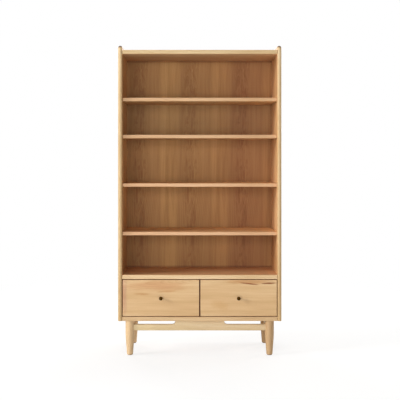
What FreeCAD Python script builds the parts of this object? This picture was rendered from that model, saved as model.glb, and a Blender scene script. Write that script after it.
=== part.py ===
import FreeCAD, Part
import os

# Open-front cabinet: a tall bookcase with five open bays, two inset drawers and a stand with turned legs.
# Millimetres, +Z up, +X to the right of someone who faces the front, and the front looks towards -Y.
# The origin lies on the floor, in the middle of the cabinet's own box.

Vector = FreeCAD.Vector
os.makedirs("parts", exist_ok=True)

# Carcass
width = 950.0
depth = 380.0
side_thickness = 25.0
top_thickness = 25.0
deck_thickness = 25.0
bottom_thickness = 25.0
horn_height = 25.0          # how far the sides stand above the top panel
horn_corner_radius = 18.0   # upper front corner of a side, seen from the side
side_edge_round = 10.0      # front and upper edges of the sides
panel_setback = 3.0         # fixed panels and drawer fronts behind the sides' front edges
panel_edge_round = 2.5
tongue_length = 8.0         # how far a fixed panel's tongues enter the sides
tongue_thickness = 14.0
tongue_setback = 12.0       # behind the panel's front edge, so that no housing shows

# Open bays from the deck up, each between the faces below and above it
bay_1_height = 228.0
bay_2_height = 263.0
bay_3_height = 263.0
bay_4_height = 196.0
bay_5_height = 252.0

# Back panel, held in grooves of the sides, the top and the bottom panel
back_thickness = 9.0
back_inset = 10.0           # wood left behind the groove
back_groove_depth = 8.0
back_groove_play = 0.2      # on each face of the sheet
back_edge_play = 1.0        # between the sheet's edge and the bottom of its groove

# Loose shelves
shelf_thickness = 20.0
shelf_setback = 25.0
shelf_end_play = 1.0
shelf_back_play = 2.0
shelf_edge_round = 2.0

# Shelf pins
pin_radius = 3.0
pin_reach = 8.0             # out of the side, under the shelf
pin_hold = 10.0             # into the side
pin_inset = 40.0            # from the shelf's front and rear edges
pin_play = 0.1
pin_hole_spare = 1.0        # the hole is this much deeper than the pin

# Drawer divider
divider_thickness = 20.0
divider_housing = 6.0
divider_front_play = 1.5    # behind the lips of the drawer fronts
divider_back_play = 2.0

# Drawer fronts
front_height = 212.0
front_thickness = 20.0
front_gap = 3.0             # above and below a front
centre_gap = 5.0            # between the two fronts
front_edge_chamfer = 1.5
front_lap = 7.0             # wood in front of the half-blind dovetails, and the lip's thickness
drawer_play = 1.5           # between a drawer and the upright beside it

# Drawer boxes
box_rear_gap = 18.0         # between the drawer back and the cabinet's back panel
box_side_thickness = 12.0
box_side_drop = 23.0        # upper edge of the sides below the front's upper edge
box_side_rise = 4.0         # lower edge of the sides above the front's lower edge
box_back_thickness = 12.0
box_back_drop = 8.0         # the back's upper edge below the sides'
box_bottom_thickness = 6.0
box_bottom_rise = 10.0      # above the sides' lower edge
box_groove_depth = 6.0
box_groove_play = 0.1       # on each face of the drawer bottom

# Dovetails of the drawer boxes
front_tail_count = 4
back_tail_count = 3
dovetail_pin_width = 8.0    # a pin's narrow face
dovetail_slope_share = 1.0 / 7.0

# Wooden runners, one in a groove of each drawer side
runner_height = 15.0
runner_rear_gap = 19.0      # between its end and the cabinet's back panel
runner_rise = 100.0         # its lower edge above the drawer side's lower edge
runner_groove_depth = 7.0
runner_play = 0.3           # above and below the runner
runner_face_play = 0.5      # between the runner and the bottom of the groove
runner_stop = 18.0          # solid wood between the front's rear face and the groove's end
runner_end_play = 1.0

# Knobs and their screws
knob_projection = 24.0
knob_radius = 10.5
knob_head_height = 10.0
knob_edge_chamfer = 0.6
knob_neck_radius = 5.5
knob_base_radius = 8.0
knob_base_height = 2.0
knob_screw_radius = 2.0
knob_screw_head_radius = 4.0
knob_screw_head_height = 2.4
knob_screw_reach = 9.0      # into the knob
knob_screw_play = 0.2
knob_hole_spare = 1.0

# Stand
stand_height = 200.0
leg_from_side = 68.5        # leg axis from the carcass's outer face
leg_from_end = 27.0         # leg axis from the sides' front and rear edges
leg_radius = 26.0           # the straight upper part, which takes the rails
leg_shoulder_height = 138.0 # where that part ends and a long curve begins
leg_knee_radius = 24.4      # where the curve ends and the straight taper begins
leg_knee_height = 94.0
leg_foot_radius = 16.2
leg_foot_chamfer = 2.0

# Rails between the legs
rail_thickness = 24.0
rail_height = 57.0
rail_edge_round = 3.0
rail_block_length = 286.0   # full-height middle of the front and rear rails
slot_height = 22.0          # the long cut-outs beside it
slot_corner_radius = 17.0
slot_corner_limit_share = 0.9
scribe_play = 0.2           # between a rail's hollowed shoulder and the round leg
tenon_thickness = 12.0
tenon_height = 25.0
tenon_rise = 5.0            # above the rail's lower edge
tenon_separation = 2.0      # wood between the two tenons that meet in a leg
mortise_spare = 1.0

# Studs that hold the legs to the bottom panel
stud_radius = 4.0
stud_reach = 15.0           # into the bottom panel
stud_hold = 35.0            # into the leg
stud_play = 0.1
stud_hole_spare = 1.0

# Foot glides
glide_radius = 13.5
glide_thickness = 3.0

# Small hidden pegs are drawn with a few flats, because there are many of them
peg_flats = 12

arc_middle_share = 1 - 0.5 ** 0.5   # how far a quarter arc's middle lies inside each side of its corner
overrun = 5.0
small = 0.001
full_turn = 360.0
x_axis = Vector(1, 0, 0)
y_axis = Vector(0, 1, 0)
z_axis = Vector(0, 0, 1)

# Places in depth: the box runs from the knobs' faces to the sides' rear edges
front_y = -(depth - (knob_projection - panel_setback)) / 2
rear_y = front_y + depth
face_y = front_y + panel_setback
back_rear_y = rear_y - back_inset
back_front_y = back_rear_y - back_thickness

# Places in width, from the middle outwards
inner_x = width / 2 - side_thickness
divider_x = divider_thickness / 2
leg_x = width / 2 - leg_from_side

# Places in height, from the floor up
bottom_z = stand_height
bottom_top_z = bottom_z + bottom_thickness
front_low_z = bottom_top_z + front_gap
front_high_z = front_low_z + front_height
deck_z = front_high_z + front_gap
deck_top_z = deck_z + deck_thickness
shelf_zs = []
level = deck_top_z
for bay_height in (bay_1_height, bay_2_height, bay_3_height, bay_4_height):
    level += bay_height
    shelf_zs.append(level)
    level += shelf_thickness
top_z = level + bay_5_height
top_top_z = top_z + top_thickness
side_top_z = top_top_z + horn_height

# Places of a drawer box
box_outer_x = inner_x - drawer_play
box_inner_x = divider_x + drawer_play
front_inner_x = centre_gap / 2
tail_tip_y = face_y + front_lap
front_rear_y = face_y + front_thickness
box_rear_y = back_front_y - box_rear_gap
box_back_y = box_rear_y - box_back_thickness
box_low_z = front_low_z + box_side_rise
box_high_z = front_high_z - box_side_drop
box_bottom_z = box_low_z + box_bottom_rise
box_bottom_top_z = box_bottom_z + box_bottom_thickness
box_back_high_z = box_high_z - box_back_drop
knob_x = (front_inner_x + box_outer_x) / 2
knob_z = (front_low_z + front_high_z) / 2
runner_z = box_low_z + runner_rise
runner_y = front_rear_y + runner_stop + runner_end_play
runner_rear_y = back_front_y - runner_rear_gap
hands = {"left": -1, "right": 1}


def block(xs, ys, zs):
    """A box between two places on each axis, in either order."""
    low = Vector(min(xs), min(ys), min(zs))
    size = Vector(max(xs), max(ys), max(zs)) - low
    return Part.makeBox(size.x, size.y, size.z, low)


def rod(radius, start, direction, length):
    return Part.makeCylinder(radius, length, start, direction)


def peg(radius, start, direction, length):
    """A round peg drawn with flats, along X or Z."""
    rim = y_axis * radius
    turns = [FreeCAD.Rotation(direction, full_turn * i / peg_flats) for i in range(peg_flats + 1)]
    corners = [start + turn.multVec(rim) for turn in turns]
    return Part.Face(Part.makePolygon(corners)).extrude(direction * length)


def eased(solid, radius, chosen):
    """The solid with a round of this radius on each edge that the test chooses."""
    return solid.makeFillet(radius, [edge for edge in solid.Edges if chosen(edge.BoundBox)])


def runs_along_x(box):
    return box.YLength < small and box.ZLength < small


def save(name, shapes):
    """Writes one node: a single solid, or like pieces as a group of separate solids."""
    shape = shapes if isinstance(shapes, Part.Shape) else Part.makeCompound(shapes)
    shape.exportStep("parts/" + name + ".step")


def front_eased_board(xs, ys, zs, radius):
    """A board whose two long front edges are rounded."""
    board = block(xs, ys, zs)
    return eased(board, radius, lambda box: runs_along_x(box) and abs(box.YMin - min(ys)) < small)


# Fixed panels

def fixed_panel(low_z, high_z, tongue):
    """A panel between the sides, rounded along its front edges, whose tongues enter the sides."""
    rear = tongue.BoundBox.YMax
    body = front_eased_board((-inner_x, inner_x), (face_y, rear), (low_z, high_z), panel_edge_round)
    return body.fuse(tongue)


def tongues():
    """Bars whose ends are the fixed panels' tongues: low on the top and the deck, high on the bottom."""
    reach = inner_x + tongue_length
    xs = (-reach, reach)
    front = face_y + tongue_setback
    return {
        "top": block(xs, (front, rear_y), (top_z, top_z + tongue_thickness)),
        "deck": block(xs, (front, back_front_y), (deck_z, deck_z + tongue_thickness)),
        "bottom": block(xs, (front, rear_y), (bottom_top_z - tongue_thickness, bottom_top_z)),
    }


def top_panel():
    """Runs the full depth, with the back panel's groove in its lower face."""
    return fixed_panel(top_z, top_top_z, tongues()["top"]).cut(back_groove())


def deck_panel():
    """Ends at the back panel, with a housing for the divider in its lower face."""
    return fixed_panel(deck_z, deck_top_z, tongues()["deck"]).cut(drawer_divider())


def bottom_panel():
    """Runs the full depth, with the back panel's groove, the divider's housing and the studs' holes."""
    panel = fixed_panel(bottom_z, bottom_top_z, tongues()["bottom"])
    panel = panel.cut(back_groove()).cut(drawer_divider())
    for place in leg_places().values():
        panel = panel.cut(leg_stud(place, stud_play, stud_hole_spare))
    return panel


def drawer_divider():
    """The upright between the drawers, housed in the deck and the bottom panel."""
    return block(
        (-divider_x, divider_x),
        (tail_tip_y + divider_front_play, back_front_y - divider_back_play),
        (bottom_top_z - divider_housing, deck_z + divider_housing),
    )


# Back panel

def back_sheet(spare, play=0):
    """The sheet, short of the grooves' bottoms by the spare; with play, the grooves themselves."""
    reach = inner_x + back_groove_depth - spare
    return block(
        (-reach, reach),
        (back_front_y - play, back_rear_y + play),
        (bottom_top_z - back_groove_depth + spare, top_z + back_groove_depth - spare),
    )


def back_groove():
    return back_sheet(0, back_groove_play)


# Side panels

def side_panel(hand):
    """A board rounded along its front and top, with the tongues', groove's and pins' cuts inside."""
    corner_y = front_y + horn_corner_radius
    corner_z = side_top_z - horn_corner_radius
    lean = horn_corner_radius * arc_middle_share
    x = hand * inner_x
    outline = Part.Wire([
        Part.makeLine(Vector(x, rear_y, bottom_z), Vector(x, front_y, bottom_z)),
        Part.makeLine(Vector(x, front_y, bottom_z), Vector(x, front_y, corner_z)),
        Part.Arc(
            Vector(x, front_y, corner_z),
            Vector(x, front_y + lean, side_top_z - lean),
            Vector(x, corner_y, side_top_z),
        ).toShape(),
        Part.makeLine(Vector(x, corner_y, side_top_z), Vector(x, rear_y, side_top_z)),
        Part.makeLine(Vector(x, rear_y, side_top_z), Vector(x, rear_y, bottom_z)),
    ])
    board = Part.Face(outline).extrude(x_axis * hand * side_thickness)

    def is_rounded(box):
        at_rear = box.YMin > rear_y - small
        at_bottom = box.ZMax < bottom_z + small
        return box.XLength < small and not at_rear and not at_bottom

    board = eased(board, side_edge_round, is_rounded)
    for cutter in [*tongues().values(), back_groove()]:
        board = board.cut(cutter)
    for place in pin_places(hand):
        board = board.cut(shelf_pin(place, hand, pin_play, pin_hole_spare))
    return board


# Loose shelves and their pins

shelf_front_y = front_y + shelf_setback
shelf_rear_y = back_front_y - shelf_back_play


def shelf(z):
    reach = inner_x - shelf_end_play
    return front_eased_board(
        (-reach, reach), (shelf_front_y, shelf_rear_y), (z, z + shelf_thickness), shelf_edge_round
    )


def pin_places(hand):
    """Where the pins leave one side's inner face: two under each shelf."""
    return [
        Vector(hand * inner_x, y, z - pin_radius)
        for z in shelf_zs
        for y in (shelf_front_y + pin_inset, shelf_rear_y - pin_inset)
    ]


def shelf_pin(place, hand, play=0, spare=0):
    """A plain round pin, half in the side and half under the shelf; with play and spare, its hole."""
    start = place - x_axis * hand * pin_reach
    return peg(pin_radius + play, start, x_axis * hand, pin_reach + pin_hold + spare)


# Drawers

def dovetail_comb(shoulder_y, tip_y, low_z, high_z, count):
    """Corner points of a row of tails, from the lowest to the highest."""
    pitch = (high_z - low_z) / count
    flare = abs(tip_y - shoulder_y) * dovetail_slope_share
    points = []
    for i in range(count):
        tail_low = low_z + i * pitch + dovetail_pin_width / 2
        tail_high = low_z + (i + 1) * pitch - dovetail_pin_width / 2
        points += [
            (shoulder_y, tail_low + flare),
            (tip_y, tail_low),
            (tip_y, tail_high),
            (shoulder_y, tail_high - flare),
        ]
    return points


def dovetailed_board(x, thickness):
    """A drawer side before its grooves: half-blind tails in front and through tails at the rear."""
    front_comb = dovetail_comb(front_rear_y, tail_tip_y, box_low_z, box_high_z, front_tail_count)
    back_comb = dovetail_comb(box_back_y, box_rear_y, box_bottom_top_z, box_back_high_z, back_tail_count)
    outline = [(front_rear_y, box_low_z)] + front_comb
    outline += [(front_rear_y, box_high_z), (box_rear_y, box_high_z)]
    outline += [(box_rear_y, box_back_high_z), (box_back_y, box_back_high_z)]
    outline += back_comb[::-1]
    outline += [(box_back_y, box_bottom_top_z), (box_rear_y, box_bottom_top_z), (box_rear_y, box_low_z)]
    points = [Vector(x, y, z) for y, z in outline]
    return Part.Face(Part.makePolygon(points + points[:1])).extrude(x_axis * thickness)


def drawer_boards(hand):
    """The outer and the inner side of one drawer, before their grooves."""
    outer = dovetailed_board(hand * box_outer_x, -hand * box_side_thickness)
    inner = dovetailed_board(hand * box_inner_x, hand * box_side_thickness)
    return outer, inner


def drawer_bottom(hand, play=0):
    """The sheet, or with its play the grooves that take it."""
    low_x = box_inner_x + box_side_thickness - box_groove_depth - play
    high_x = box_outer_x - box_side_thickness + box_groove_depth + play
    return block(
        (hand * low_x, hand * high_x),
        (front_rear_y - box_groove_depth - play, box_rear_y),
        (box_bottom_z - play, box_bottom_top_z),
    )


def runner(upright_x, inwards, play=0, face_play=0, end_play=0):
    """A strip fixed to an upright, or with its plays the groove that slides on it."""
    depth_in = drawer_play + runner_groove_depth - runner_face_play + face_play
    return block(
        (upright_x, upright_x + inwards * depth_in),
        (runner_y - end_play, runner_rear_y),
        (runner_z - play, runner_z + runner_height + play),
    )


def drawer_side(board, hand, upright_x, inwards):
    """Grooved inside for the bottom and outside for the runner, the second one open at the rear."""
    groove = runner(upright_x, inwards, runner_play, runner_face_play, runner_end_play)
    rest = block(
        (upright_x, groove.BoundBox.XMax if inwards > 0 else groove.BoundBox.XMin),
        (runner_y, box_rear_y + overrun),
        (groove.BoundBox.ZMin, groove.BoundBox.ZMax),
    )
    return board.cut(drawer_bottom(hand, box_groove_play)).cut(groove.fuse(rest))


def drawer_front(hand):
    """Sockets for the half-blind dovetails, a lip over the divider, and the bottom's groove."""
    front = block(
        (hand * front_inner_x, hand * box_outer_x),
        (face_y, front_rear_y),
        (front_low_z, front_high_z),
    )
    face_edges = [edge for edge in front.Edges if edge.BoundBox.YMax < face_y + small]
    front = front.makeChamfer(front_edge_chamfer, face_edges)
    rebate = block(
        (hand * (front_inner_x - overrun), hand * box_inner_x),
        (tail_tip_y, front_rear_y + overrun),
        (front_low_z - overrun, front_high_z + overrun),
    )
    front = front.cut(rebate)
    for board in drawer_boards(hand):
        front = front.cut(board)
    hole = rod(knob_screw_radius + knob_screw_play, knob_place(hand), y_axis, front_thickness)
    return front.cut(drawer_bottom(hand, box_groove_play)).cut(hole)


def drawer_back(hand):
    """Its ends keep the pins between the sides' through tails."""
    back = block(
        (hand * box_inner_x, hand * box_outer_x),
        (box_back_y, box_rear_y),
        (box_bottom_top_z, box_back_high_z),
    )
    for board in drawer_boards(hand):
        back = back.cut(board)
    return back


def knob_place(hand):
    return Vector(hand * knob_x, face_y, knob_z)


def knob(hand):
    """A turned knob: a foot, a neck and a flat head with a chamfered rim, bored from behind."""
    centre = knob_place(hand)
    head_start = knob_projection - knob_head_height

    def at(radius, projection):
        return centre + x_axis * radius - y_axis * projection

    outline = Part.makePolygon([
        at(0, 0),
        at(knob_base_radius, 0),
        at(knob_base_radius, knob_base_height),
        at(knob_neck_radius, knob_base_height),
        at(knob_neck_radius, head_start),
        at(knob_radius, head_start),
        at(knob_radius, knob_projection - knob_edge_chamfer),
        at(knob_radius - knob_edge_chamfer, knob_projection),
        at(0, knob_projection),
        at(0, 0),
    ])
    solid = Part.Face(outline).revolve(centre, y_axis, full_turn)
    hole = rod(knob_screw_radius + knob_screw_play, centre, -y_axis, knob_screw_reach + knob_hole_spare)
    return solid.cut(hole)


def knob_screw(hand):
    """Its head bears on the rear of the drawer front, and its end is in the knob."""
    start = knob_place(hand) + y_axis * front_thickness
    head = rod(knob_screw_head_radius, start, y_axis, knob_screw_head_height)
    return head.fuse(rod(knob_screw_radius, start, -y_axis, front_thickness + knob_screw_reach))


# Stand

def leg_places():
    """The legs' axes by name."""
    front_leg_y = front_y + leg_from_end
    rear_leg_y = rear_y - leg_from_end
    return {
        row + "_leg_" + side: Vector(hand * leg_x, y, 0)
        for row, y in (("front", front_leg_y), ("rear", rear_leg_y))
        for side, hand in hands.items()
    }


def leg_turning(place, extra=0):
    """A turned leg: a straight taper up from the foot, a long curve, and a straight top for the rails."""
    def at(radius, z):
        return place + Vector(radius + extra, 0, z)

    rise = leg_shoulder_height - leg_knee_height
    swell = leg_radius - leg_knee_radius
    curve_radius = (rise ** 2 + swell ** 2) / (2 * swell)
    middle_radius = leg_radius - curve_radius + (curve_radius ** 2 - (rise / 2) ** 2) ** 0.5
    knee = at(leg_knee_radius, leg_knee_height)
    middle = at(middle_radius, leg_shoulder_height - rise / 2)
    shoulder = at(leg_radius, leg_shoulder_height)
    straight = Part.makePolygon([
        shoulder,
        at(leg_radius, stand_height),
        place + z_axis * stand_height,
        place + z_axis * glide_thickness,
        at(leg_foot_radius - leg_foot_chamfer, glide_thickness),
        at(leg_foot_radius, glide_thickness + leg_foot_chamfer),
        knee,
    ])
    outline = Part.Wire([straight, Part.Arc(knee, middle, shoulder).toShape()])
    return Part.Face(outline).revolve(place, z_axis, full_turn)


def leg_stud(place, play=0, spare=0):
    """A plain stud that joins a leg to the bottom panel; with play and spare, its holes."""
    start = place + z_axis * (stand_height - stud_hold - spare)
    return peg(stud_radius + play, start, z_axis, stud_hold + stud_reach + spare + spare)


def tenons(place, spare=0):
    """The ends of the two rails that meet in one leg; with spare, the mortises that take them."""
    half = tenon_thickness / 2
    tip = half + tenon_separation - spare
    root = leg_radius + half
    low = stand_height - rail_height + tenon_rise
    zs = (low, low + tenon_height)
    inward = -1 if place.x > 0 else 1
    along = -1 if place.y > (front_y + rear_y) / 2 else 1
    return (
        block((place.x + inward * tip, place.x + inward * root), (place.y - half, place.y + half), zs),
        block((place.x - half, place.x + half), (place.y + along * tip, place.y + along * root), zs),
    )


def leg(place):
    """Mortised for its two rails, and bored for its stud."""
    turned = leg_turning(place)
    for mortise in tenons(place, mortise_spare):
        turned = turned.cut(mortise)
    return turned.cut(leg_stud(place, stud_play, stud_hole_spare))


def glide(place):
    """A flat plastic pad under the foot."""
    return rod(glide_radius, place, z_axis, glide_thickness)


def long_rail(row):
    """Front or rear rail: a full-height middle block and a long cut-out on each side of it."""
    places = leg_places()
    left = places[row + "_leg_left"]
    right = places[row + "_leg_right"]
    low = stand_height - rail_height
    step = stand_height - slot_height
    block_x = rail_block_length / 2
    corner = min(slot_corner_radius, slot_height * slot_corner_limit_share)
    lean = corner * arc_middle_share
    y = left.y - rail_thickness / 2

    def at(x, z):
        return Vector(x, y, z)

    def corner_arc(hand):
        slot_end = at(hand * (block_x + corner), step)
        middle = at(hand * (block_x + lean), step + lean)
        block_end = at(hand * block_x, step + corner)
        return Part.Arc(slot_end, middle, block_end).toShape()

    outline = Part.Wire([
        Part.makePolygon([
            at(-block_x - corner, step),
            at(left.x, step),
            at(left.x, low),
            at(right.x, low),
            at(right.x, step),
            at(block_x + corner, step),
        ]),
        corner_arc(1),
        Part.makePolygon([
            at(block_x, step + corner),
            at(block_x, stand_height),
            at(-block_x, stand_height),
            at(-block_x, step + corner),
        ]),
        corner_arc(-1),
    ])
    board = Part.Face(outline).extrude(y_axis * rail_thickness)
    board = eased(board, rail_edge_round, lambda box: runs_along_x(box) and box.ZMax < low + small)
    for place in (left, right):
        board = board.cut(leg_turning(place, scribe_play)).fuse(tenons(place)[0])
    return board


def side_rail(hand):
    """A plain rail between the front and the rear leg of one side."""
    places = leg_places()
    name = "left" if hand < 0 else "right"
    front = places["front_leg_" + name]
    rear = places["rear_leg_" + name]
    low = stand_height - rail_height
    half = rail_thickness / 2
    board = block((front.x - half, front.x + half), (front.y, rear.y), (low, stand_height))

    def is_lower_edge(box):
        return box.XLength < small and box.ZMax < low + small

    board = eased(board, rail_edge_round, is_lower_edge)
    for place in (front, rear):
        board = board.cut(leg_turning(place, scribe_play)).fuse(tenons(place)[1])
    return board


# Carcass nodes
save("side_panel_left", side_panel(-1))
save("side_panel_right", side_panel(1))
save("top_panel", top_panel())
save("deck_panel", deck_panel())
save("bottom_panel", bottom_panel())
save("drawer_divider", drawer_divider())
save("back_panel", back_sheet(back_edge_play))
for number, shelf_z in enumerate(shelf_zs, 1):
    save("shelf_" + str(number), shelf(shelf_z))
save("shelf_pins", [shelf_pin(place, hand) for hand in hands.values() for place in pin_places(hand)])

# Drawer nodes
for side, hand in hands.items():
    outer_board, inner_board = drawer_boards(hand)
    outer_side = drawer_side(outer_board, hand, hand * inner_x, -hand)
    inner_side = drawer_side(inner_board, hand, hand * divider_x, hand)
    save(side + "_drawer_front", drawer_front(hand))
    save(side + "_drawer_outer_side", outer_side)
    save(side + "_drawer_inner_side", inner_side)
    save(side + "_drawer_back", drawer_back(hand))
    save(side + "_drawer_bottom", drawer_bottom(hand))
    save(side + "_knob", knob(hand))
    save(side + "_knob_screw", knob_screw(hand))
    save(side + "_outer_runner", runner(hand * inner_x, -hand))
    save(side + "_inner_runner", runner(hand * divider_x, hand))

# Stand nodes
for row in ("front", "rear"):
    save(row + "_legs", [leg(place) for name, place in leg_places().items() if name.startswith(row)])
save("foot_glides", [glide(place) for place in leg_places().values()])
save("front_rail", long_rail("front"))
save("rear_rail", long_rail("rear"))
save("side_rail_left", side_rail(-1))
save("side_rail_right", side_rail(1))
save("leg_studs", [leg_stud(place) for place in leg_places().values()])
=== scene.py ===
import bpy
import numpy as np
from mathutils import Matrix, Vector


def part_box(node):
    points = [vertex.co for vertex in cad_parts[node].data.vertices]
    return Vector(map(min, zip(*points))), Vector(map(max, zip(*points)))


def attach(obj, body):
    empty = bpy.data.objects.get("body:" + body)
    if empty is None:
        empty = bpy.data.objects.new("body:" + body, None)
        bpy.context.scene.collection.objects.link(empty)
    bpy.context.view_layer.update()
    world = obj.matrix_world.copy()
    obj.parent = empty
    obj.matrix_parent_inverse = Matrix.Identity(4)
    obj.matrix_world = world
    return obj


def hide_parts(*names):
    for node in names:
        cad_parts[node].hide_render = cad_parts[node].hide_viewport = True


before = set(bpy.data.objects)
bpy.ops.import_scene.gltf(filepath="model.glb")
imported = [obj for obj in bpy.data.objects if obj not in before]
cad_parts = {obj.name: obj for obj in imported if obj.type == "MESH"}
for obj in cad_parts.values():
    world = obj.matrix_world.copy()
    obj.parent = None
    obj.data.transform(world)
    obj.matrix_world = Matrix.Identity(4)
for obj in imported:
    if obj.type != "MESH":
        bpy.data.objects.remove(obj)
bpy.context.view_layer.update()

# An oak bookcase with an open front and two drawers, on a stand with turned legs. Metres, +Z up; the front
# looks towards -Y. Each section makes one kind of piece, in the order in which the bookcase is put together.


# Turned legs
# Four solid oak legs, turned on a lathe: straight where the rails enter, then a long taper to the foot.
# They are oiled, with the grain running down the leg, and each stands on a plastic glide.

def linear(hex_colour):
    """Turns an sRGB hex colour into the linear values that a shader takes. A small part of a colour is
    divided by 12.92. A larger one has 0.055 added, is divided by 1.055 and raised to the power of 2.4."""
    parts = np.array([int(hex_colour[i:i + 2], 16) for i in (1, 3, 5)]) / 255
    curve = np.where(parts <= 0.04045, parts / 12.92, ((parts + 0.055) / 1.055) ** 2.4)
    return (*curve, 1)


def feed(tree, node, inputs):
    """Gives a node its inputs, by name or number: a value is set, and another node's output is linked."""
    for name, value in dict(inputs).items():
        if isinstance(value, bpy.types.NodeSocket):
            tree.links.new(value, node.inputs[name])
        else:
            node.inputs[name].default_value = value


def add(tree, kind, inputs=(), stops=(), **settings):
    """Adds one node, with its settings and its inputs. The stops of a scale of colours are pairs of a place
    from 0 to 1 and a hex colour."""
    node = tree.nodes.new(kind)
    for name, value in settings.items():
        setattr(node, name, value)
    feed(tree, node, inputs)
    for _ in stops[2:]:
        node.color_ramp.elements.new(0)
    for number, (place, colour) in enumerate(stops):
        node.color_ramp.elements[number].position = place
        node.color_ramp.elements[number].color = linear(colour)
    return node


def start_material(name):
    """Starts a material: gives it, its node tree and a node with the coordinates of the piece it is on."""
    material = bpy.data.materials.new(name)
    material.use_nodes = True
    tree = material.node_tree
    return material, tree, add(tree, "ShaderNodeTexCoord")


def tint(material, share, colour):
    """Multiplies a material's colour by another one, by a share from 0 to 1 that a node gives: the result is
    colour * (1 - share + share * tint). Inputs 6 and 7 of a Mix node, and its output 2, are for colours."""
    tree = material.node_tree
    base = tree.nodes["Principled BSDF"].inputs["Base Color"]
    mixed = add(tree, "ShaderNodeMix", {0: share, 6: base.links[0].from_socket, 7: linear(colour)},
                data_type="RGBA", blend_type="MULTIPLY")
    tree.links.new(mixed.outputs[2], base)


def tint_faces(material, axis, span, colour, reach=None):
    """Tints faces that look along one axis. The share rises evenly from 0 to 1 as the normal's part along
    that axis goes from the first number of the span to the second. A reach is an axis and two places along
    it, and multiplies the share by one that falls evenly from 1 at the first place to 0 at the second."""
    tree = material.node_tree
    coordinates = add(tree, "ShaderNodeTexCoord")
    facing = add(tree, "ShaderNodeSeparateXYZ", {"Vector": coordinates.outputs["Normal"]})
    share = add(tree, "ShaderNodeMapRange", {
        "Value": facing.outputs[axis], "From Min": span[0], "From Max": span[1]}).outputs[0]
    if reach:
        along, full, gone = reach
        place = add(tree, "ShaderNodeSeparateXYZ", {"Vector": coordinates.outputs["Object"]})
        near = add(tree, "ShaderNodeMapRange", {
            "Value": place.outputs[along], "From Min": gone, "From Max": full})
        share = add(tree, "ShaderNodeMath", {0: share, 1: near.outputs[0]}, operation="MULTIPLY").outputs[0]
    tint(material, share, colour)


wave_period = 2 * np.pi / 20   # length of one ring or band of the wave texture at scale 1
end_grain = "#C2A57C"          # end grain drinks more oil than the faces do
end_grain_span = (0.35, 0.85)


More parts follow.
